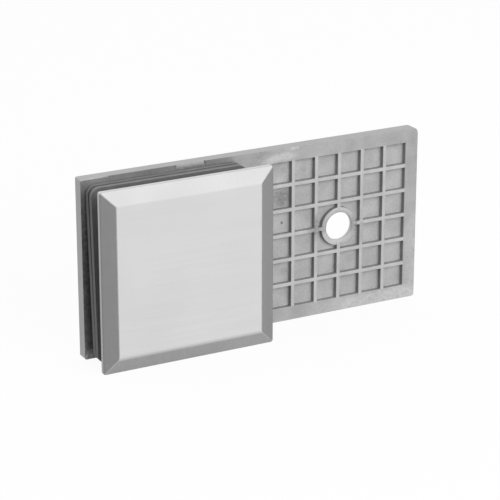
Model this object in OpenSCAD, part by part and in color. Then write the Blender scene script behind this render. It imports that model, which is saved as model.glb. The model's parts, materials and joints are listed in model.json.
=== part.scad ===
// Glass-to-wall bracket: a cast back plate with a waffle of ribs on its wall half, and a square
// bevelled cover that clamps the glass against its other half with one countersunk screw.
// +X runs from the glass half to the wall half, +Z is up, and wall and glass lie on the -Y side.
// The origin is on the axis of the wall hole, in the plane that bears on the wall.

/* [Back plate] */
// Length of the back plate, along X
plate_len = 102; // [98:0.5:112]
// Height of the back plate, along Z
plate_h = 50; // [47:0.5:56]
// Thickness of the back plate at its wall half
plate_t = 4.7; // [4.5:0.1:7]
// Depth of the glass half's face below the wall face
pad_recess = 0.1; // [0.1:0.1:0.5]
// Radius of the back plate's corners at its glass end
glass_corner_r = 0.5; // [0.3:0.1:3]
// Radius of the back plate's corners at its wall end
wall_corner_r = 1.6; // [0.6:0.1:3]

/* [Bevels] */
// Width of the bevel round both outer faces
bevel_w = 4.1; // [2:0.1:5]
// Height of the bevel
bevel_h = 1.2; // [0.8:0.1:2]

/* [Waffle] */
// Number of cells along each side of the waffle
cell_count = 6; // [2:2:6]
// Pitch of the cells
cell_pitch = 7.2; // [6.5:0.1:7.4]
// Width of a rib
rib_w = 1.1; // [0.6:0.1:1.6]
// Depth of the cells
cell_depth = 1.3; // [0.8:0.1:2.2]
// Outer diameter of the ring round the wall hole
ring_d = 11; // [9.6:0.1:12]

/* [Wall hole] */
// Distance of the wall hole from the plate's right end
wall_hole_inset = 25; // [24:0.5:27]
// Diameter of the wall hole
wall_hole_d = 8; // [5.5:0.1:8.4]
// Length of the wall hole's straight bore, up to its countersink
wall_bore_len = 1; // [0.8:0.1:2.5]

/* [Ground flats] */
// Distance of the ground casting gate from the plate's left end
gate_x = 27.5; // [24:0.5:32]
// Length of the ground casting gate
gate_len = 8.5; // [4:0.5:12]
// Reach of the gate's flat down the inner face
gate_drop = 1.4; // [0.6:0.1:2]
// Length of the hand-ground flat at the top left corner
corner_flat_len = 8; // [4:0.5:12]
// Reach of the corner's flat down the inner face
corner_flat_drop = 0.4; // [0.3:0.1:1.2]
// Slope of the ground flats, measured from the inner face
flat_slope = 25; // [10:1:45]

/* [Cover] */
// Side of the square cover
cover_side = 50; // [46:0.5:54]
// Height of the cover's square edge below its bevel
cover_land = 1.4; // [1.2:0.1:4]
// Radius of the cover's corners
cover_corner_r = 0.7; // [0.3:0.1:2]
// Gap between the glass half's face and the cover
clamp_gap = 10.6; // [9.6:0.1:14]
// Distance of the clamp screw from the plate's left end
clamp_inset = 25; // [24.5:0.1:26]
// Diameter of the threaded boss inside the cover
boss_d = 12; // [10:0.1:13]
// Length of the boss
boss_len = 8.6; // [6:0.1:9.2]
// Metal left between the threaded hole and the cover's outer face
cover_skin = 1.3; // [0.8:0.1:1.8]

/* [Clamp screw] */
// Thread diameter
screw_d = 6; // [5:0.1:6.4]
// Length over the head
screw_len = 16; // [13:0.5:16.5]
// Diameter of the countersunk head
head_d = 12; // [10.6:0.1:13]
// Height of the head's straight rim
head_rim = 0.3; // [0.2:0.1:0.6]
// Depth of the head below the plate's outer face
head_recess = 0.2; // [0.1:0.1:0.6]
// Width across flats of the hexagon socket
socket_af = 4; // [3:0.5:5]
// Depth of the hexagon socket
socket_depth = 2.3; // [1.5:0.1:2.6]
// Chamfer of the screw's tip
tip_chamfer = 0.6; // [0.2:0.1:1]

/* [Bush and gaskets] */
// Wall of the bush that keeps the boss off the glass
bush_wall = 0.95; // [0.6:0.05:1.5]
// Width of a gasket, along X
gasket_w = 45; // [40:0.5:47]
// Height of a gasket
gasket_h = 48; // [40:0.5:48.5]
// Thickness of a gasket
gasket_t = 1.5; // [1:0.1:1.8]
// Radius of a gasket's corners
gasket_corner_r = 2.5; // [1:0.1:5]
// Lean of the rear gasket, its top against the plate
rear_lean = 3.2; // [1.5:0.1:4]
// How much less the front gasket leans than the rear one
lean_step = 0.9; // [0.1:0.1:1.4]
// Direction in which the loose gaskets have slipped, from +X towards +Z
slip_direction = 200; // [180:5:270]

/* [Clearances] */
// Radial play between the screw and the boss's thread
thread_play = 0.05; // [0.02:0.01:0.1]
// Radial play between the screw and its hole in the plate
screw_hole_play = 0.3; // [0.2:0.05:0.6]
// Radial play between the screw's head and its countersink
sink_play = 0.1; // [0.05:0.05:0.2]
// Radial play between the bush and the boss
bush_play = 0.05; // [0.02:0.01:0.1]
// Radial play between the gaskets and the bush
gasket_play = 1.5; // [1:0.1:2]
// Gap left where loose pieces rest on each other
rest_gap = 0.1; // [0.05:0.05:0.2]
// Distance from the cover's right edge to the step up to the wall face
step_gap = 0.5; // [0.2:0.1:1]

/* [Hidden] */
$fn = 64;
// How far a cut runs past the surface it opens
overcut = 1;
flat_tan = tan(flat_slope);

plate_right = wall_hole_inset;
plate_left = plate_right - plate_len;
plate_mid = (plate_left + plate_right) / 2;
plate_land = plate_t - bevel_h;

clamp_x = plate_left + clamp_inset;
step_x = clamp_x + cover_side / 2 + step_gap;
// Faces across Y: the glass half's face, the cover's inner and outer faces, the end of its boss
pad_y = pad_recess;
cover_in_y = pad_y - clamp_gap;
cover_out_y = cover_in_y - cover_land - bevel_h;
boss_end_y = cover_in_y + boss_len;

cell_w = cell_pitch - rib_w;
wall_sink_depth = plate_t - wall_bore_len;
wall_sink_d = wall_hole_d + 2 * wall_sink_depth;

screw_hole_d = screw_d + 2 * screw_hole_play;
screw_sink_d = head_d + 2 * sink_play;
screw_sink_depth = (screw_sink_d - screw_hole_d) / 2;
head_cone_h = (head_d - screw_d) / 2;
head_top_y = plate_t - head_recess;
head_rim_y = head_top_y - head_rim;
screw_tip_y = head_top_y - screw_len;
thread_hole_d = screw_d + 2 * thread_play;
thread_end_y = cover_out_y + cover_skin;

bush_in_d = boss_d + 2 * bush_play;
bush_d = bush_in_d + 2 * bush_wall;
gasket_hole_d = bush_d + 2 * gasket_play;
gasket_slip = gasket_play - 2 * rest_gap;
gasket_x = clamp_x + gasket_slip * cos(slip_direction);
gasket_z = gasket_slip * sin(slip_direction);
front_lean = rear_lean - lean_step;
// Reach of a leaning gasket's edges from its middle, along Y
rear_reach = gasket_t / 2 * cos(rear_lean) + gasket_h / 2 * sin(rear_lean);
front_reach = gasket_t / 2 * cos(front_lean) - gasket_h / 2 * sin(front_lean);
rear_gasket_y = pad_y - rest_gap - rear_reach;
front_gasket_y = rear_gasket_y - rear_reach - rest_gap - front_reach;

// Rectangle with true round corners, of one radius at its left end and another at its right end
module rounded_outline(w, h, left_r, right_r) {
    translate([left_r - w / 2, -h / 2])
        square([w - left_r - right_r, h]);
    for (end = [[-1, left_r], [1, right_r]]) {
        x = end[0] * (w / 2 - end[1]);
        translate([x, 0])
            square([2 * end[1], h - 2 * end[1]], center = true);
        for (side = [-1, 1])
            translate([x, side * (h / 2 - end[1])])
                circle(end[1]);
    }
}

// Wedge above the bevel along one side of a slab, whose edge lies at reach and height land
module bevel_cut(reach, span, land) {
    rise = overcut * bevel_h / bevel_w;
    translate([reach, 0, land])
        rotate([90, 0, 0])
            linear_extrude(span + 2 * overcut, center = true)
                polygon([[overcut, -rise], [overcut, bevel_h + rise], [-bevel_w - overcut, bevel_h + rise]]);
}

// Slab on z = 0 with a straight edge and a mitred bevel round its top
module bevelled_slab(w, h, land, left_r, right_r) {
    difference() {
        linear_extrude(land + bevel_h)
            rounded_outline(w, h, left_r, right_r);
        for (turn = [0, 180])
            rotate(turn) {
                bevel_cut(w / 2, h, land);
                rotate(90)
                    bevel_cut(h / 2, w, land);
            }
    }
}

// Round cut or bar along +Y from y0 to y1, tapering from d0 to d1
module along_y(y0, y1, d0, d1) {
    translate([0, y0, 0])
        rotate([-90, 0, 0])
            cylinder(h = y1 - y0, d1 = d0, d2 = d1);
}

// Square cells between the ribs, open to the wall, around the ring of the wall hole
module waffle_cells() {
    first = -cell_count / 2 * cell_pitch + rib_w / 2;
    difference() {
        for (i = [0 : cell_count - 1], j = [0 : cell_count - 1])
            translate([first + i * cell_pitch, -overcut, first + j * cell_pitch])
                cube([cell_w, cell_depth + overcut, cell_w]);
        along_y(-2 * overcut, cell_depth + overcut, ring_d, ring_d);
    }
}

// Flat ground across the top edge of the glass half's face
module ground_flat(x, len, drop) {
    top = plate_h / 2 + overcut;
    low = plate_h / 2 - drop;
    translate([x, 0, 0])
        rotate([90, 0, 90])
            linear_extrude(len)
                polygon([[pad_y, low], [pad_y + (top - low) * flat_tan, top], [pad_y - overcut, top],
                         [pad_y - overcut, low]]);
}

// Wall hole with its countersink in the outer face
module wall_hole() {
    along_y(-overcut, plate_t + overcut, wall_hole_d, wall_hole_d);
    along_y(wall_bore_len, plate_t, wall_hole_d, wall_sink_d);
}

// Clearance hole and countersink of the clamp screw
module screw_hole() {
    along_y(-overcut, plate_t + overcut, screw_hole_d, screw_hole_d);
    along_y(head_rim_y - screw_sink_depth, head_rim_y, screw_hole_d, screw_sink_d);
    along_y(head_rim_y, plate_t + overcut, screw_sink_d, screw_sink_d);
}

// Investment-cast plate: waffle and wall hole on the right, flat pad for the glass on the left
module back_plate() {
    color("silver")
        difference() {
            translate([plate_mid, 0, 0])
                rotate([-90, 0, 0])
                    bevelled_slab(plate_len, plate_h, plate_land, glass_corner_r, wall_corner_r);
            translate([plate_left - overcut, -overcut, -plate_h / 2 - overcut])
                cube([step_x - plate_left + overcut, pad_recess + overcut, plate_h + 2 * overcut]);
            waffle_cells();
            wall_hole();
            translate([clamp_x, 0, 0])
                screw_hole();
            ground_flat(plate_left + gate_x, gate_len, gate_drop);
            ground_flat(plate_left - overcut, corner_flat_len + overcut, corner_flat_drop);
        }
}

// Brushed square cover with mitred bevels and a blind threaded boss on its inner side
module cover_plate() {
    color("gainsboro")
        translate([clamp_x, 0, 0])
            difference() {
                union() {
                    translate([0, cover_in_y, 0])
                        rotate([90, 0, 0])
                            bevelled_slab(cover_side, cover_side, cover_land, cover_corner_r,
                                          cover_corner_r);
                    along_y(cover_in_y - cover_land / 2, boss_end_y, boss_d, boss_d);
                }
                along_y(thread_end_y, boss_end_y + overcut, thread_hole_d, thread_hole_d);
            }
}

// Nylon bush on the boss, which keeps the hole in the glass off the metal
module glass_bush() {
    color("whitesmoke")
        translate([clamp_x, 0, 0])
            difference() {
                along_y(cover_in_y, boss_end_y, bush_d, bush_d);
                along_y(cover_in_y - overcut, boss_end_y + overcut, bush_in_d, bush_in_d);
            }
}

// Flat gasket with round corners and a hole for the bush, leaning about X at a distance y
module gasket(y, lean) {
    color("dimgray")
        translate([gasket_x, y, gasket_z])
            rotate([90 - lean, 0, 0])
                linear_extrude(gasket_t, center = true)
                    difference() {
                        rounded_outline(gasket_w, gasket_h, gasket_corner_r, gasket_corner_r);
                        circle(d = gasket_hole_d);
                    }
}

module rear_gasket() {
    gasket(rear_gasket_y, rear_lean);
}

module front_gasket() {
    gasket(front_gasket_y, front_lean);
}

// Countersunk screw with a hexagon socket, turned from the plate's outer face
module clamp_screw() {
    color("lightgray")
        translate([clamp_x, 0, 0])
            difference() {
                union() {
                    along_y(head_rim_y, head_top_y, head_d, head_d);
                    along_y(head_rim_y - head_cone_h, head_rim_y, screw_d, head_d);
                    along_y(screw_tip_y + tip_chamfer, head_rim_y - head_cone_h, screw_d, screw_d);
                    along_y(screw_tip_y, screw_tip_y + tip_chamfer, screw_d - 2 * tip_chamfer, screw_d);
                }
                translate([0, head_top_y - socket_depth, 0])
                    rotate([-90, 0, 0])
                        cylinder(h = socket_depth + overcut, d = socket_af / cos(30), $fn = 6);
            }
}

back_plate();
cover_plate();
glass_bush();
rear_gasket();
front_gasket();
clamp_screw();
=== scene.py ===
import json
import math

import bpy
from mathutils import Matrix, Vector


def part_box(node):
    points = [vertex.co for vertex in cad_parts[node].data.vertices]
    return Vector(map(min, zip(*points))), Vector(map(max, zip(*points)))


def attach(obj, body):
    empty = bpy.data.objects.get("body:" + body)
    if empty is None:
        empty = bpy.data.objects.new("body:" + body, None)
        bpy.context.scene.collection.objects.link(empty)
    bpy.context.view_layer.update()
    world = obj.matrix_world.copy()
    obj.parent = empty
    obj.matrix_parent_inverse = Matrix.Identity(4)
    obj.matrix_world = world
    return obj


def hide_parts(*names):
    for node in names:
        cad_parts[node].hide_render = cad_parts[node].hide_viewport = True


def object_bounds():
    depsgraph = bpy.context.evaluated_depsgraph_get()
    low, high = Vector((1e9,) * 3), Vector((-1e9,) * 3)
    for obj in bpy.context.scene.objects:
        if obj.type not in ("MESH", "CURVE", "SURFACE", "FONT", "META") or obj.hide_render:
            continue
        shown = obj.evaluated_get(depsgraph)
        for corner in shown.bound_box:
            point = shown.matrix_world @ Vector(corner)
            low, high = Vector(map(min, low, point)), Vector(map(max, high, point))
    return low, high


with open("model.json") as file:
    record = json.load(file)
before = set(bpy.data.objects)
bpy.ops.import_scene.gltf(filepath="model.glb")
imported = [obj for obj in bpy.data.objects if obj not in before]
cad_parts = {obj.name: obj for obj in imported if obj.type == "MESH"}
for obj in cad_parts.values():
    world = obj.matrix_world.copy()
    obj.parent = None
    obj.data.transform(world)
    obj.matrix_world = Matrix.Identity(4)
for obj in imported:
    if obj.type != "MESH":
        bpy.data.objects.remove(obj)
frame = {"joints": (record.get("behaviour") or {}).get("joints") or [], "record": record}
cad_low, cad_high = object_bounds()


# Back plate: one investment casting in stainless steel. The wall half has square cells between
# ribs and a ring round the wall hole, the glass half is a plain pad that lies a hair deeper.
# The wall side is blasted, rib tops, border and pad are ground, and the outer side is brushed.
mm = 0.001
plate_low, plate_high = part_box("back_plate")
clamp_x = next(joint["pos_m"][0] for joint in frame["joints"] if joint["name"] == "clamp_turn")
hole = next(mount["dims"] for mount in frame["record"]["mounts"] if mount["name"] == "wall_hole")
hole_radius, hole_bore_end = hole["r_mm"] * mm, hole["length_mm"] * mm
bevel_width = 4.1 * mm
bevel_height = 1.2 * mm
land_y = plate_high.y - bevel_height
pad_recess = 0.1 * mm
pad_y = plate_low.y + pad_recess
step_x, step_width = -26.5 * mm, 0.15 * mm
glass_corner, wall_corner, lower_wall_corner = 0.5 * mm, 1.6 * mm, 0.8 * mm
cells_across = 6
cell_pitch = 7.2 * mm
rib_width = 1.1 * mm
cell_depth = 1.3 * mm
rib_zone = cells_across / 2 * cell_pitch
ring_radius = 5.5 * mm
ring_steps = 60
screw_hole_radius = 3.3 * mm
head_sink_radius = 6.1 * mm
head_recess = 0.5 * mm
head_rim_y = plate_high.y - head_recess
flat_slope = math.radians(25)
gate_start, gate_length, gate_drop = 27.5 * mm, 8.5 * mm, 1.4 * mm
corner_flat_length, corner_flat_drop = 8 * mm, 0.4 * mm
cast_edge = 0.09 * mm
arc_segments = 8
smooth_below = math.radians(50)
overcut = 1.0 * mm
near = 0.01 * mm
# A face looks along an axis when its normal has the first share along it, and leans to it from the second.
facing, leaning = 0.9, 0.7
across_x, across_z = Vector((1, 0, 0)), Vector((0, 0, 1))


def place(kind, name, **options):
    """A new primitive at its size and place, the only thing selected, with its place in its mesh."""
    bpy.ops.object.select_all(action="DESELECT")
    getattr(bpy.ops.mesh, f"primitive_{kind}_add")(**options)
    piece = bpy.context.object
    piece.name = name
    bpy.ops.object.transform_apply(location=True, rotation=True, scale=True)
    return piece


def block(name, low, high):
    """A block between two corners."""
    return place("cube", name, size=1, location=(low + high) / 2, scale=high - low)


def pick(piece, part, test):
    """Edit mode with only those faces or edges selected that pass the test."""
    bpy.context.view_layer.objects.active = piece
    bpy.ops.object.mode_set(mode="EDIT")
    bpy.ops.mesh.select_mode(type=part)
    bpy.ops.mesh.select_all(action="DESELECT")
    bpy.ops.object.mode_set(mode="OBJECT")
    for item in piece.data.polygons if part == "FACE" else piece.data.edges:
        if part == "FACE":
            item.select = test(item.center, item.normal)
        else:
            item.select = test(*(piece.data.vertices[v].co for v in item.vertices))
    bpy.ops.object.mode_set(mode="EDIT")


def done():
    """Back to object mode."""
    bpy.ops.object.mode_set(mode="OBJECT")


def all_faces(centre, normal):
    return True


def score(piece, test, axis, places):
    """Cut the chosen faces along planes across an axis."""
    for where in places:
        pick(piece, "FACE", test)
        bpy.ops.mesh.bisect(plane_co=axis * where, plane_no=axis)
        done()


def extrude(shift):
    """Extrude the selected faces by a vector."""
    bpy.ops.mesh.extrude_region_move(TRANSFORM_OT_translate={"value": shift})


def raise_bevelled(piece, shift):
    """Raise the face that looks along a shift by that shift, with a mitred bevel on its four sides."""
    low, high = (Vector(corner) for corner in (piece.bound_box[0], piece.bound_box[6]))
    size = high - low
    pick(piece, "FACE", lambda centre, normal: normal.dot(shift.normalized()) > facing)
    extrude(shift)
    bpy.ops.transform.resize(
        value=(1 - 2 * bevel_width / size.x, 1, 1 - 2 * bevel_width / size.z),
        center_override=(low + high) / 2,
    )
    done()


def round_corners(piece, radius, sides=(-1, 1), ends=(-1, 1)):
    """Round a slab's corner edges, which run along Y, on chosen sides of the wall hole, below or above it."""
    pick(piece, "EDGE", lambda a, b: (
        abs(a.y - b.y) > near and abs(a.x - b.x) < near and abs(a.z - b.z) < near
        and math.copysign(1, a.x) in sides and math.copysign(1, a.z) in ends
    ))
    bpy.ops.mesh.bevel(offset=radius, segments=arc_segments)
    done()


def break_edges(piece, width, sharper_than=15, segments=2):
    """Round every edge that turns by more than an angle in degrees."""
    pick(piece, "EDGE", lambda a, b: False)
    bpy.ops.mesh.edges_select_sharp(sharpness=math.radians(sharper_than))
    bpy.ops.mesh.bevel(offset=width, segments=segments, clamp_overlap=False)
    done()


def weld(piece):
    """Merge points that lie on one another, so that seams are closed, and turn all faces outwards."""
    pick(piece, "FACE", all_faces)
    bpy.ops.mesh.remove_doubles(threshold=near / 10)
    bpy.ops.mesh.dissolve_degenerate(threshold=near / 10)
    bpy.ops.mesh.select_all(action="SELECT")
    bpy.ops.mesh.normals_make_consistent(inside=False)
    done()


def turned(name, x, profile, closed=False, steps=64):
    """A piece turned about the line along Y at x, from (radius, y) points.
    An open profile starts and ends on that line, and a closed one makes a tube."""
    bpy.ops.object.select_all(action="DESELECT")
    points = [(x + radius, y, 0) for radius, y in profile]
    chain = [(i, i + 1) for i in range(len(points) - 1)]
    if closed:
        chain.append((len(points) - 1, 0))
    mesh = bpy.data.meshes.new(name)
    mesh.from_pydata(points, chain, [])
    piece = bpy.data.objects.new(name, mesh)
    bpy.context.scene.collection.objects.link(piece)
    piece.select_set(True)
    bpy.context.view_layer.objects.active = piece
    bpy.ops.object.mode_set(mode="EDIT")
    bpy.ops.mesh.select_all(action="SELECT")
    bpy.ops.mesh.spin(steps=steps, angle=math.tau, center=(x, 0, 0), axis=(0, 1, 0))
    done()
    weld(piece)
    return piece


def apply_modifier(piece, kind, **settings):
    """Add a modifier to a piece and apply it."""
    modifier = piece.modifiers.new(kind.lower(), kind)
    for field, value in settings.items():
        setattr(modifier, field, value)
    bpy.ops.object.select_all(action="DESELECT")
    bpy.context.view_layer.objects.active = piece
    piece.select_set(True)
    bpy.ops.object.modifier_apply(modifier=modifier.name)


def combine(piece, tool, operation):
    """Join a tool shape to a piece, or cut it out of it, and drop the tool."""
    apply_modifier(piece, "BOOLEAN", object=tool, operation=operation)
    bpy.data.objects.remove(tool)


def shade(piece):
    """Smooth shading over rounded edges, with large flat faces kept flat to the eye."""
    bpy.ops.object.select_all(action="DESELECT")
    bpy.context.view_layer.objects.active = piece
    piece.select_set(True)
    bpy.ops.object.shade_smooth_by_angle(angle=smooth_below)
    apply_modifier(piece, "WEIGHTED_NORMAL", weight=100, keep_sharp=True)


def faces_wall(centre, normal):
    return normal.y < -facing and centre.x > step_x


def in_cell(value):
    """Whether a place along X or Z falls between two ribs."""
    along = (value / cell_pitch + cells_across / 2) % 1 * cell_pitch
    return abs(value) < rib_zone and rib_width / 2 < along < cell_pitch - rib_width / 2


def ground_flat(start, length, drop):
    """Wedge that grinds a sloping flat on the top edge of the glass half."""
    top, lean = plate_high.z + overcut, (drop + overcut) * math.tan(flat_slope)
    wedge = block(
        "flat",
        Vector((start, pad_y - overcut, plate_high.z - drop)),
        Vector((start + length, pad_y, top)),
    )
    pick(wedge, "EDGE", lambda a, b: min(a.y, b.y) > pad_y - near and min(a.z, b.z) > top - near)
    bpy.ops.transform.translate(value=(0, lean, 0))
    done()
    return wedge


rib_edges = [
    (i - cells_across / 2) * cell_pitch + side * rib_width / 2
    for i in range(cells_across + 1)
    for side in (-1, 1)
]
cell_lines = rib_edges[1:-1]

back_plate = block("cast_back_plate", plate_low, Vector((plate_high.x, land_y, plate_high.z)))
raise_bevelled(back_plate, Vector((0, bevel_height, 0)))
round_corners(back_plate, wall_corner, sides=(1,), ends=(1,))
round_corners(back_plate, lower_wall_corner, sides=(1,), ends=(-1,))
round_corners(back_plate, glass_corner, sides=(-1,))
score(back_plate, lambda centre, normal: normal.y < -facing, across_x, [step_x])
score(back_plate, faces_wall, across_x, cell_lines)
score(back_plate, faces_wall, across_z, cell_lines)
pick(
    back_plate, "FACE",
    lambda centre, normal: faces_wall(centre, normal) and in_cell(centre.x) and in_cell(centre.z),
)
extrude((0, cell_depth, 0))
done()
break_edges(back_plate, cast_edge)
# The glass half steps back to the pad over a short slope.
score(back_plate, all_faces, across_x, [step_x - step_width, step_x])
for point in back_plate.data.vertices:
    if point.co.x < step_x - step_width / 2:
        point.co.y = max(pad_y, point.co.y)
gate_wedge = ground_flat(plate_low.x + gate_start, gate_length, gate_drop)
combine(back_plate, gate_wedge, "DIFFERENCE")
corner_wedge = ground_flat(plate_low.x - overcut, corner_flat_length + overcut, corner_flat_drop)
combine(back_plate, corner_wedge, "DIFFERENCE")
# Lines through both holes keep the large faces simple where the holes cut them.
score(back_plate, all_faces, across_x, [0, clamp_x])
score(back_plate, all_faces, across_z, [0])
combine(back_plate, turned("ring", 0, [
    (0, plate_low.y),
    (ring_radius - cast_edge, plate_low.y),
    (ring_radius, plate_low.y + cast_edge),
    (ring_radius, cell_depth + overcut),
    (0, cell_depth + overcut),
], steps=ring_steps), "UNION")
combine(back_plate, turned("wall_hole", 0, [
    (0, plate_low.y - overcut),
    (hole_radius + cast_edge + overcut, plate_low.y - overcut),
    (hole_radius, plate_low.y + cast_edge),
    (hole_radius, hole_bore_end),
    (hole_radius + plate_high.y + overcut - hole_bore_end, plate_high.y + overcut),
    (0, plate_high.y + overcut),
]), "DIFFERENCE")
combine(back_plate, turned("screw_hole", clamp_x, [
    (0, pad_y - overcut),
    (screw_hole_radius + cast_edge + overcut, pad_y - overcut),
    (screw_hole_radius, pad_y + cast_edge),
    (screw_hole_radius, head_rim_y - (head_sink_radius - screw_hole_radius)),
    (head_sink_radius, head_rim_y),
    (head_sink_radius, plate_high.y - cast_edge),
    (head_sink_radius + cast_edge + overcut, plate_high.y + overcut),
    (0, plate_high.y + overcut),
]), "DIFFERENCE")
weld(back_plate)
shade(back_plate)


def linear(hex_colour):
    """Linear colour with full alpha for an sRGB hex value."""
    parts = (int(hex_colour[i:i + 2], 16) / 255 for i in (1, 3, 5))
    return (*(c / 12.92 if c <= 0.04045 else ((c + 0.055) / 1.055) ** 2.4 for c in parts), 1)


def fill(tree, target, inputs):
    """Fill a node's inputs, each with a link from a socket or with a value."""
    for socket, value in inputs.items():
        if isinstance(value, bpy.types.NodeSocket):
            tree.links.new(value, target.inputs[socket])
        else:
            target.inputs[socket].default_value = value


def add(tree, kind, inputs, output=None, **settings):
    """One node with its settings and links; the result is a named output, or the first one in use."""
    new = tree.nodes.new("ShaderNode" + kind)
    for field, value in settings.items():
        setattr(new, field, value)
    fill(tree, new, inputs)
    return new.outputs[output] if output else next(socket for socket in new.outputs if socket.enabled)


def material(name):
    """An empty material with its node tree and its shader."""
    new = bpy.data.materials.new(name)
    new.use_nodes = True
    return new, new.node_tree, new.node_tree.nodes["Principled BSDF"]


def dress(piece, finish, test=all_faces):
    """Give a piece a material, all over or on the faces that pass a test."""
    piece.data.materials.append(finish)
    slot = len(piece.data.materials) - 1
    for face in piece.data.polygons:
        if test(face.center, face.normal):
            face.material_index = slot


def brushed_steel(name, stroke, colour, roughness, line_gap=0.3 * mm, contrast=0.025):
    """Stainless steel brushed with a fine belt: a satin grey with faint straight lines along the stroke.
    Real lines are about 0.05 mm apart, and are drawn at 0.3 mm or more so that they show."""
    line_length, cloud, line_depth = 30 * mm, 14 * mm, 0.01 * mm
    roughness_spread = 0.03
    finish, tree, shader = material(name)
    where = add(tree, "TexCoord", {}, output="Object")
    stretched = add(tree, "Mapping", {
        "Vector": where,
        "Scale": [1 / line_length if along else 1 / line_gap for along in stroke],
    })
    lines = add(tree, "TexNoise", {"Vector": stretched, "Scale": 1.0, "Detail": 3.0})
    clouds = add(tree, "TexNoise", {"Vector": where, "Scale": 1 / cloud, "Detail": 1.0})
    mixed = add(tree, "Math", {0: lines, 1: clouds}, operation="ADD")
    tone = add(tree, "MapRange", {
        "Value": mixed, "From Min": 0.7, "From Max": 1.3, "To Min": 1 - contrast, "To Max": 1 + contrast,
    })
    toned = {"Fac": 1.0, "Color1": linear(colour), "Color2": tone}
    fill(tree, shader, {
        "Base Color": add(tree, "MixRGB", toned, blend_type="MULTIPLY"),
        "Metallic": 1.0,
        "Roughness": add(tree, "MapRange", {
            "Value": lines, "From Min": 0.3, "From Max": 0.7,
            "To Min": roughness - roughness_spread, "To Max": roughness + roughness_spread,
        }),
        "Normal": add(tree, "Bump", {"Height": lines, "Strength": 0.03, "Distance": line_depth}),
    })
    return finish


def cast_steel(name, dark, light, roughness, metallic, relief, stains_and_painted_shade=()):
    """Investment cast stainless steel: a dull grey with a fine sandy grain, soft blotches and stains, and
    painted shade where the list of stains gives it.
    Real grain is about 0.1 mm, and is drawn at 0.4 mm so that it shows."""
    grain, blotch, ragged_edge = 0.4 * mm, 5 * mm, 1 * mm
    roughness_spread = 0.08
    finish, tree, shader = material(name)
    where = add(tree, "TexCoord", {}, output="Object")
    sand = add(tree, "TexNoise", {"Vector": where, "Scale": 1 / grain, "Detail": 2.0})
    blotches = add(tree, "TexNoise", {"Vector": where, "Scale": 1 / blotch, "Detail": 2.0})
    mixed = add(tree, "Math", {0: sand, 1: blotches}, operation="ADD")
    tone = add(tree, "MapRange", {"Value": mixed, "From Min": 0.6, "From Max": 1.4})
    colour = add(tree, "MixRGB", {"Fac": tone, "Color1": linear(dark), "Color2": linear(light)})
    patchy = add(tree, "TexNoise", {"Vector": where, "Scale": 1 / ragged_edge, "Detail": 3.0})
    ragged = add(tree, "MapRange", {"Value": patchy, "From Min": 0.35, "From Max": 0.6, "To Min": 0.4})
    # Each entry paints a pale or dark spot into the colour: a stain, or, for the pad's entries in the ground
    # list, painted shade.
    for x, z, half_width, half_height, strength in stains_and_painted_shade:
        stain_and_shade_spot = add(tree, "TexGradient", {"Vector": add(tree, "Mapping", {
            "Vector": where,
            "Location": (-x / half_width, 0, -z / half_height),
            "Scale": (1 / half_width / mm, 0, 1 / half_height / mm),
        })}, output="Fac", gradient_type="SPHERICAL")
        stain_and_shade_spot = add(tree, "MapRange", {"Value": stain_and_shade_spot, "From Max": 0.6, "To Max": abs(strength)})
        stain_and_shade_spot = add(tree, "Math", {0: stain_and_shade_spot, 1: ragged}, operation="MULTIPLY")
        stain_and_shade_tone = linear("#FFFFFF" if strength > 0 else "#000000")
        colour = add(tree, "MixRGB", {"Fac": stain_and_shade_spot, "Color1": colour, "Color2": stain_and_shade_tone})
    fill(tree, shader, {
        "Base Color": colour,
        "Metallic": metallic,
        "Roughness": add(tree, "MapRange", {
            "Value": sand,
            "To Min": roughness - roughness_spread, "To Max": roughness + roughness_spread,
        }),
        "Normal": add(tree, "Bump", {"Height": sand, "Strength": 0.5, "Distance": relief}),
    })
    return finish


blasted_relief, ground_relief = 0.03 * mm, 0.01 * mm
# Stains in the cells and on the ground faces, and painted shade on the pad: x, z, half width and half height
# in mm, and strength, above zero for a pale rub and below zero for a dark patch or for painted shade.
cell_stains = [
    (-17.6, 10.6, 4.4, 4.0, -0.42),
    (-17.3, 3.4, 0.5, 0.5, -0.8),
    (-16.8, 18.3, 1.2, 1.2, -0.12),
    (-10.4, 17.7, 1.4, 1.0, -0.16),
    (-16.6, -10.8, 1.4, 1.6, -0.18),
    (-9.3, 3.2, 1.2, 1.4, -0.12),
    (4.6, -10.5, 2.2, 1.6, -0.1),
    (19.1, 10.5, 2.4, 2.6, 0.16),
    (17.7, 18.5, 2.6, 2.0, 0.1),
]
ground_stains_and_painted_shade = [
    (-7.0, 0.9, 3.4, 4.4, -0.45),
    (-17.6, 22.6, 5.4, 1.5, 0.35),
    (-22.0, 21.9, 3.2, 1.2, 0.24),
    (-23.4, 24.2, 4.4, 1.6, -0.16),
    (-26.0, 23.5, 6.0, 3.0, -0.14),
    (-14.1, 24.6, 1.8, 0.7, 0.4),
    # Painted shade on the pad's top strip, under the cover and gaskets.
    (-45.2, 24.3, 6.0, 2.0, -0.2),
    (4.9, -0.6, 1.6, 5.2, -0.35),
    (7.2, -1.0, 1.0, 6.0, -0.25),
    # This entry and the next two: painted shade on the pad, in the slot between plate and cover.
    (-75.0, -25.0, 9.0, 6.0, -0.7),
    (-76.0, 0.0, 3.6, 26.0, -0.4),
    (-59.0, 24.6, 12.0, 2.4, -0.12),
    (15.0, -23.6, 30.0, 3.4, 0.34),
    (23.6, -13.0, 3.0, 18.0, 0.22),
    (23.4, 16.0, 3.0, 11.0, -0.12),
]
# Outer side, brushed lengthwise: a pale satin.
outer_finish = brushed_steel("brushed_cast_steel", (1, 0, 0), "#E2E2E2", roughness=0.38)
dress(back_plate, outer_finish)
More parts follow.
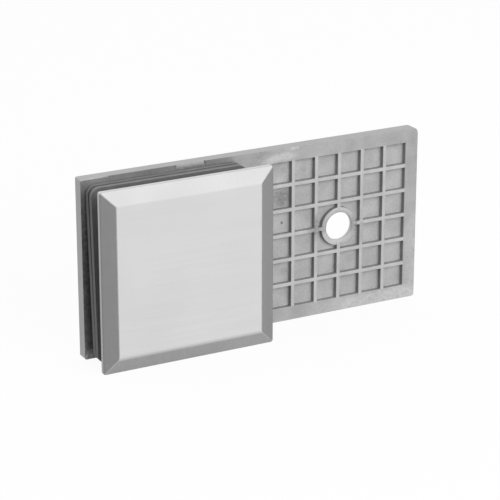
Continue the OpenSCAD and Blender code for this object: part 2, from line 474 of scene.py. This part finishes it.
# Edges, finished with a fine belt: an even, dull metal grey.
edge_finish = cast_steel(
    "satin_cast_edge", "#C4C4C4", "#CECECE", roughness=0.58, metallic=1.0, relief=ground_relief,
)
dress(back_plate, edge_finish, lambda centre, normal: abs(normal.y) < leaning and centre.y < land_y)
# Cell floors, left as blasted: a matt, sandy grey with dark and pale spots.
cell_floor_finish = cast_steel(
    "blasted_cast_steel", "#BCBCBC", "#DEDEDE",
    roughness=0.75, metallic=0.35, relief=blasted_relief, stains_and_painted_shade=cell_stains,
)
dress(
    back_plate, cell_floor_finish,
    lambda centre, normal: centre.y > cell_depth - near and normal.y < -leaning,
)
# Border and pad, ground flat: a darker grey with pale rubs and dark patches, and painted shade on the pad
# where it lies in the slot between plate and cover.
ground_finish_and_pad_shade = cast_steel(
    "ground_cast_steel_and_pad_shade", "#ABABAB", "#CDCDCD",
    roughness=0.42, metallic=0.75, relief=ground_relief, stains_and_painted_shade=ground_stains_and_painted_shade,
)
dress(
    back_plate, ground_finish_and_pad_shade,
    lambda centre, normal: normal.y < -leaning and centre.y < cell_depth - near,
)
# Rib tops and ring, ground and then rubbed by handling: the palest parts of the wall side.
worn_finish = cast_steel(
    "worn_cast_steel", "#C0C0C0", "#DEDEDE",
    roughness=0.42, metallic=0.75, relief=ground_relief, stains_and_painted_shade=ground_stains_and_painted_shade,
)
dress(
    back_plate, worn_finish,
    lambda centre, normal: normal.y < -leaning and centre.y < near
    and max(abs(centre.x), abs(centre.z)) < rib_zone - rib_width / 2,
)
# Cell walls: painted shade, a darker and duller grey than the floors, for the shade in the recesses of the
# cells.
shaded_cell_wall_finish = cast_steel(
    "cell_wall_steel_painted_shade", "#9C9C9C", "#ACACAC", roughness=0.75, metallic=0.35, relief=blasted_relief,
)
dress(
    back_plate, shaded_cell_wall_finish,
    lambda centre, normal: normal.y > -leaning and centre.y < cell_depth - near
    and abs(centre.x) < rib_zone and abs(centre.z) < rib_zone,
)
# Wall of the hole, drilled: bright bare metal.
bore_finish = cast_steel(
    "drilled_cast_steel", "#D6D6D6", "#E2E2E2", roughness=0.5, metallic=1.0, relief=ground_relief,
)
dress(
    back_plate, bore_finish,
    lambda centre, normal: abs(normal.y) < facing
    and math.hypot(centre.x, centre.z) < hole_radius + cast_edge,
)
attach(back_plate, "plate")
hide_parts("back_plate")


# Gaskets: two loose sheets of soft grey PVC, punched with round corners and a hole for the bush.
# They lie in the slot between plate and cover and lean a little until glass presses them flat.
gasket_height = 48 * mm
gasket_thickness = 1.5 * mm
gasket_corner = 2.5 * mm
gasket_hole_radius = 8.5 * mm
gasket_edge = 0.12 * mm
punched_edge_angle = 60
rear_lean, front_lean = math.radians(3.2), math.radians(2.3)
# A face counts to the broad sides of a sheet or plate from this share of its normal along Y.
halfway = 0.5


def soft_pvc(name, dark, light):
    """Soft PVC sheet: a dull grey with a faint mottle and a fine skin."""
    mottle, grain, grain_depth = 3 * mm, 0.3 * mm, 0.02 * mm
    finish, tree, shader = material(name)
    where = add(tree, "TexCoord", {}, output="Object")
    spots = add(tree, "TexNoise", {"Vector": where, "Scale": 1 / mottle, "Detail": 3.0})
    skin = add(tree, "TexNoise", {"Vector": where, "Scale": 1 / grain, "Detail": 1.0})
    tones = {"Fac": spots, "Color1": linear(dark), "Color2": linear(light)}
    fill(tree, shader, {
        "Base Color": add(tree, "MixRGB", tones),
        "Roughness": add(tree, "MapRange", {"Value": spots, "To Min": 0.5, "To Max": 0.75}),
        "IOR": 1.53,
        "Normal": add(tree, "Bump", {"Height": skin, "Strength": 0.2, "Distance": grain_depth}),
    })
    return finish


# Calendered faces: dark and smooth, and darker still as painted shade for the slot between plate and cover.
# Punched edges: a paler, rubbed grey.
gasket_face_and_shade = soft_pvc("calendered_grey_pvc_and_painted_shade", "#646464", "#808080")
gasket_cut = soft_pvc("cut_grey_pvc", "#7E7E7E", "#969696")


def gasket_sheet(name, node, lean):
    low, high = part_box(node)
    half = Vector((high.x - low.x, gasket_thickness, gasket_height)) / 2
    sheet = block(name, -half, half)
    round_corners(sheet, gasket_corner)
    break_edges(sheet, gasket_edge, sharper_than=punched_edge_angle)
    score(sheet, all_faces, across_x, [0])
    score(sheet, all_faces, across_z, [0])
    combine(sheet, turned("gasket_hole", 0, [
        (0, -gasket_thickness),
        (gasket_hole_radius, -gasket_thickness),
        (gasket_hole_radius, gasket_thickness),
        (0, gasket_thickness),
    ]), "DIFFERENCE")
    sheet.location = (low + high) / 2
    sheet.rotation_euler.x = -lean
    bpy.ops.object.transform_apply(location=True, rotation=True, scale=True)
    shade(sheet)
    # The faces take the darker grey, which is partly painted shade, and the edges the paler one.
    dress(sheet, gasket_face_and_shade)
    dress(sheet, gasket_cut, lambda centre, normal: abs(normal.y) < halfway)
    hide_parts(node)
    return sheet


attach(gasket_sheet("rear_gasket_sheet", "rear_gasket", rear_lean), "plate")
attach(gasket_sheet("front_gasket_sheet", "front_gasket", front_lean), "cover")


# Bush: a short tube turned from natural nylon, pushed over the cover's boss.
# It keeps the edge of the hole in the glass off the steel.
bush_low, bush_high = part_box("glass_bush")
bush_radius = (bush_high.x - bush_low.x) / 2
bush_bore = 6.05 * mm
bush_edge = 0.25 * mm


def natural_nylon():
    """Turned natural nylon: milky off-white, half dull, with faint rings from the tool.
    Real rings are about 0.1 mm apart, and are drawn at 0.3 mm so that they show."""
    ring_gap, ring_depth, cloud, glow_depth = 0.3 * mm, 0.02 * mm, 4 * mm, 1 * mm
    # A wave texture runs through this many radians for each unit of its scale.
    wave_radians = 20
    finish, tree, shader = material("turned_natural_nylon")
    where = add(tree, "TexCoord", {}, output="Object")
    rings = add(tree, "TexWave", {
        "Vector": where, "Scale": math.tau / wave_radians / ring_gap, "Distortion": 0.4,
    }, bands_direction="Y")
    milk = add(tree, "TexNoise", {"Vector": where, "Scale": 1 / cloud, "Detail": 2.0})
    tones = {"Fac": milk, "Color1": linear("#E0DED4"), "Color2": linear("#F0EEE6")}
    fill(tree, shader, {
        "Base Color": add(tree, "MixRGB", tones),
        "Roughness": add(tree, "MapRange", {"Value": milk, "To Min": 0.38, "To Max": 0.55}),
        "IOR": 1.53,
        "Subsurface Weight": 0.15,
        "Subsurface Scale": glow_depth,
        "Normal": add(tree, "Bump", {"Height": rings, "Strength": 0.15, "Distance": ring_depth}),
    })
    return finish


bush = turned("nylon_bush", clamp_x, [
    (bush_bore + bush_edge, bush_low.y),
    (bush_radius - bush_edge, bush_low.y),
    (bush_radius, bush_low.y + bush_edge),
    (bush_radius, bush_high.y - bush_edge),
    (bush_radius - bush_edge, bush_high.y),
    (bush_bore + bush_edge, bush_high.y),
    (bush_bore, bush_high.y - bush_edge),
    (bush_bore, bush_low.y + bush_edge),
], closed=True)
shade(bush)
dress(bush, natural_nylon())
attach(bush, "cover")
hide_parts("glass_bush")


# Cover: a square of stainless steel with a wide mitred bevel, brushed after it was milled.
# A boss on its inner side goes through the glass and takes the clamp screw in a blind thread.
cover_low, cover_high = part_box("cover_plate")
cover_corner = 0.7 * mm
cover_edge, cover_edge_segments = 0.22 * mm, 3
lower_edge, lower_edge_segments = 0.6 * mm, 6
cover_skin = 1.3 * mm
boss_radius = 6.0 * mm
boss_edge = 0.4 * mm
thread_hole_radius = 3.05 * mm
thread_hole_end = cover_low.y + cover_skin
bevel_lean = 0.2


def inner_side(centre, normal):
    return normal.y > facing


cover = block(
    "brushed_cover",
    Vector((cover_low.x, cover_low.y + bevel_height, cover_low.z)),
    Vector((cover_high.x, bush_low.y, cover_high.z)),
)
raise_bevelled(cover, Vector((0, -bevel_height, 0)))
round_corners(cover, cover_corner)
# The belt has rounded the lower edge of the face more than the others.
pick(cover, "EDGE", lambda a, b: max(a.y, b.y) < cover_low.y + near and max(a.z, b.z) < 0)
bpy.ops.mesh.bevel(offset=lower_edge, segments=lower_edge_segments)
done()
break_edges(cover, cover_edge, segments=cover_edge_segments)
score(cover, inner_side, across_x, [clamp_x])
score(cover, inner_side, across_z, [0])
combine(cover, turned("boss", clamp_x, [
    (0, bush_low.y - overcut),
    (boss_radius, bush_low.y - overcut),
    (boss_radius, cover_high.y - boss_edge),
    (boss_radius - boss_edge, cover_high.y),
    (0, cover_high.y),
]), "UNION")
combine(cover, turned("thread_hole", clamp_x, [
    (0, thread_hole_end),
    (thread_hole_radius, thread_hole_end),
    (thread_hole_radius, cover_high.y - boss_edge),
    (thread_hole_radius + boss_edge + overcut, cover_high.y + overcut),
    (0, cover_high.y + overcut),
]), "DIFFERENCE")
shade(cover)
# Face and the rest, brushed from side to side: a pale, even satin.
face_finish = brushed_steel("satin_steel_brushed_lengthwise", (1, 0, 0), "#DEDEDE", roughness=0.34)
dress(cover, face_finish)
# Upper and lower bevels, brushed across the edge: the same satin with clearer upright lines.
bevel_finish = brushed_steel(
    "satin_steel_brushed_upright", (0, 0, 1), "#DEDEDE", roughness=0.34, line_gap=0.6 * mm, contrast=0.05,
)
dress(
    cover, bevel_finish,
    lambda centre, normal: normal.y < -halfway and abs(normal.z) > bevel_lean,
)
# Left and right edges, left as sawn and only touched by the belt: a little darker and duller.
sawn_finish = brushed_steel("satin_steel_sawn_edge", (0, 1, 0), "#CACACA", roughness=0.42)
dress(
    cover, sawn_finish,
    lambda centre, normal: abs(normal.x) > leaning and abs(centre.x - clamp_x) > boss_radius + near,
)
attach(cover, "cover")
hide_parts("cover_plate")


# Clamp screw: a countersunk M6 screw in plain stainless steel with a hexagon socket.
# It goes through the plate from the outer side and pulls the cover's boss towards it.
screw_low, screw_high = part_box("clamp_screw")
head_radius = (screw_high.x - screw_low.x) / 2
head_rim = 0.3 * mm
shank_radius = 3.0 * mm
thread_pitch = 1.0 * mm
thread_depth = 0.55 * mm
thread_rows = 8
flank_share = 0.8
tip_chamfer = 0.6 * mm
socket_sides = 6
socket_across = 4 * mm
socket_depth = 2.3 * mm


def screw_steel():
    """Cold-headed stainless steel: bright plain grey with faint drawing marks and small dull patches."""
    patch, mark, mark_depth = 2 * mm, 0.25 * mm, 0.01 * mm
    finish, tree, shader = material("cold_headed_steel")
    where = add(tree, "TexCoord", {}, output="Object")
    patches = add(tree, "TexNoise", {"Vector": where, "Scale": 1 / patch, "Detail": 3.0})
    marks = add(tree, "TexNoise", {"Vector": where, "Scale": 1 / mark, "Detail": 1.0})
    tones = {"Fac": patches, "Color1": linear("#B4B4B4"), "Color2": linear("#CDCDCD")}
    fill(tree, shader, {
        "Base Color": add(tree, "MixRGB", tones),
        "Metallic": 1.0,
        "Roughness": add(tree, "MapRange", {"Value": patches, "To Min": 0.22, "To Max": 0.4}),
        "Normal": add(tree, "Bump", {"Height": marks, "Strength": 0.1, "Distance": mark_depth}),
    })
    return finish


cone_end_y = screw_high.y - head_rim - (head_radius - shank_radius)
thread_length = cone_end_y - screw_low.y - tip_chamfer
thread_rows_y = [
    screw_low.y + tip_chamfer + row * thread_pitch / thread_rows
    for row in range(int(thread_length / thread_pitch * thread_rows))
]
screw = turned("socket_screw", clamp_x, [
    (0, screw_low.y),
    (shank_radius - tip_chamfer, screw_low.y),
    *((shank_radius, y) for y in thread_rows_y),
    (shank_radius, cone_end_y),
    (head_radius, screw_high.y - head_rim),
    (head_radius, screw_high.y - head_rim / 2),
    (head_radius - head_rim / 2, screw_high.y),
    (0, screw_high.y),
])
# The thread's groove winds round the shank, with short flats at crest and root between its flanks.
for point in screw.data.vertices:
    x, y, z = point.co.x - clamp_x, point.co.y, point.co.z
    if thread_rows_y[0] - near < y < thread_rows_y[-1] + near and math.hypot(x, z) > near:
        turn = (y / thread_pitch - math.atan2(x, z) / math.tau) % 1
        flank = 0.5 + (abs(2 * turn - 1) - 0.5) / flank_share
        scale = 1 - thread_depth * min(1, max(0, flank)) / shank_radius
        point.co = (clamp_x + x * scale, y, z * scale)
socket = place(
    "cylinder", "socket",
    vertices=socket_sides,
    radius=socket_across / 2 / math.cos(math.pi / socket_sides),
    depth=2 * socket_depth,
    location=(clamp_x, screw_high.y, 0),
    rotation=(math.pi / 2, 0, 0),
)
combine(screw, socket, "DIFFERENCE")
shade(screw)
dress(screw, screw_steel())
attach(screw, "screw")
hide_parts("clamp_screw")


# Floor and light: a white table under a soft white studio. The metal mirrors the white background
# in a tall opening at the front right, between grey cards that give it its darker sides.
floor_side = 4.0
floor_glow = 0.94
floor = place("plane", "floor", size=floor_side, location=(0, 0, cad_low.z))
floor.visible_glossy = False
# White laminate, lit evenly: white to the eye, with a faint shadow, and grey in the light that it returns.
floor_laminate, tree, shader = material("white_table")
rays = add(tree, "LightPath", {}).node.outputs
seen = add(tree, "Math", {0: rays["Is Camera Ray"], 1: rays["Is Transmission Ray"]}, operation="MAXIMUM")
tones = {"Fac": seen, "Color1": linear("#7C7C7C"), "Color2": linear("#FFFFFF")}
fill(tree, shader, {
    "Base Color": add(tree, "MixRGB", tones),
    "Roughness": 0.9,
    "Specular IOR Level": 0.0,
})
glow = add(tree, "Emission", {"Color": linear("#FFFFFF"), "Strength": 1.0})
share = add(tree, "Math", {0: seen, 1: floor_glow}, operation="MULTIPLY")
fill(tree, tree.nodes["Material Output"], {
    "Surface": add(tree, "MixShader", {0: share, 1: shader.outputs[0], 2: glow}),
})
dress(floor, floor_laminate)

world = bpy.data.worlds.new("soft_studio")
world.use_nodes = True
bpy.context.scene.world = world
tree = world.node_tree
rays = add(tree, "LightPath", {}).node.outputs
seen = add(tree, "Math", {0: rays["Is Camera Ray"], 1: rays["Is Transmission Ray"]}, operation="MAXIMUM")
direction = add(tree, "TexCoord", {}, output="Generated")
depth, height = (add(tree, "SeparateXYZ", {"Vector": direction}, output=axis) for axis in "YZ")

# The opening, with the directions at which each of its soft edges starts and ends.
opening_turn = math.radians(27.79)
opening_sides = (0.41, 0.2)
opening_front = (0.0, 0.3)
opening_foot = (-0.9, -0.42)
across_opening = (math.cos(opening_turn), math.sin(opening_turn), 0)
into_opening = (math.sin(opening_turn), -math.cos(opening_turn), 0)
sideways, forwards = (
    add(tree, "VectorMath", {0: direction, 1: axis}, output="Value", operation="DOT_PRODUCT")
    for axis in (across_opening, into_opening)
)
sideways = add(tree, "Math", {0: sideways}, operation="ABSOLUTE")
opening = rays["Is Glossy Ray"]
for value, (start, end) in ((sideways, opening_sides), (forwards, opening_front), (height, opening_foot)):
    edge = {"Value": value, "From Min": start, "From Max": end}
    soft_edge = add(tree, "MapRange", edge, interpolation_type="SMOOTHSTEP")
    opening = add(tree, "Math", {0: opening, 1: soft_edge}, operation="MULTIPLY")

# Light levels, rising with height: upright faces mirror the first height, the cover's upper bevel the
# second and top edges the third. The cards are grey in front and paler behind.
face_height, bevel_mirror_height, edge_height, card_height = -0.34, 0.16, 0.34, 0.4
card_low, card_high = 0.25, 0.45
behind_low, behind_high = 0.4, 0.52
behind_start, behind_end = -0.2, 0.8
panel_low, panel_high = 1.09, 1.26
cards = add(tree, "MapRange", {
    "Value": height, "From Min": face_height, "From Max": card_height,
    "To Min": card_low, "To Max": card_high,
})
behind = add(tree, "MapRange", {"Value": depth, "From Min": behind_start, "From Max": behind_end})
behind_level = add(tree, "MapRange", {
    "Value": height, "From Min": face_height, "From Max": edge_height,
    "To Min": behind_low, "To Max": behind_high,
})
paler = add(tree, "Math", {0: behind, 1: behind_level}, operation="MULTIPLY")
cards = add(tree, "Math", {0: cards, 1: paler}, operation="ADD")
panel = add(tree, "MapRange", {
    "Value": height, "From Min": face_height, "From Max": bevel_mirror_height,
    "To Min": panel_low, "To Max": panel_high,
})
studio = add(tree, "MixRGB", {"Fac": opening, "Color1": cards, "Color2": panel})
fill(tree, tree.nodes["Background"], {
    "Color": add(tree, "MixRGB", {"Fac": seen, "Color1": studio, "Color2": linear("#FFFFFF")}),
    "Strength": 1.0,
})

key_place = Vector((0.15, -0.82, 0.36))
key_side = 0.7
key_watts = 6.2
key = bpy.data.objects.new("key", bpy.data.lights.new("key", "AREA"))
bpy.context.scene.collection.objects.link(key)
key.location = key_place
key.rotation_euler = key_place.to_track_quat("Z", "Y").to_euler()
key.data.size = key_side
key.data.energy = key_watts
key.visible_glossy = False


# Camera: the photograph's viewing angle, from the left and a little above.
# A long lens keeps the edges of the plate nearly parallel.
camera_target = Vector((-27.734, 0, -2.343)) * mm
camera_distance = 579.9 * mm
camera_azimuth = math.radians(-27.794)
camera_elevation = math.radians(19.89)
camera_lens = 154.0
back = Vector((
    math.sin(camera_azimuth) * math.cos(camera_elevation),
    -math.cos(camera_azimuth) * math.cos(camera_elevation),
    math.sin(camera_elevation),
))
camera = bpy.data.objects.new("camera", bpy.data.cameras.new("camera"))
bpy.context.scene.collection.objects.link(camera)
camera.location = camera_target + camera_distance * back
camera.rotation_euler = back.to_track_quat("Z", "Y").to_euler()
camera.data.lens = camera_lens
bpy.context.scene.camera = camera
bpy.context.scene.view_settings.view_transform = "Standard"
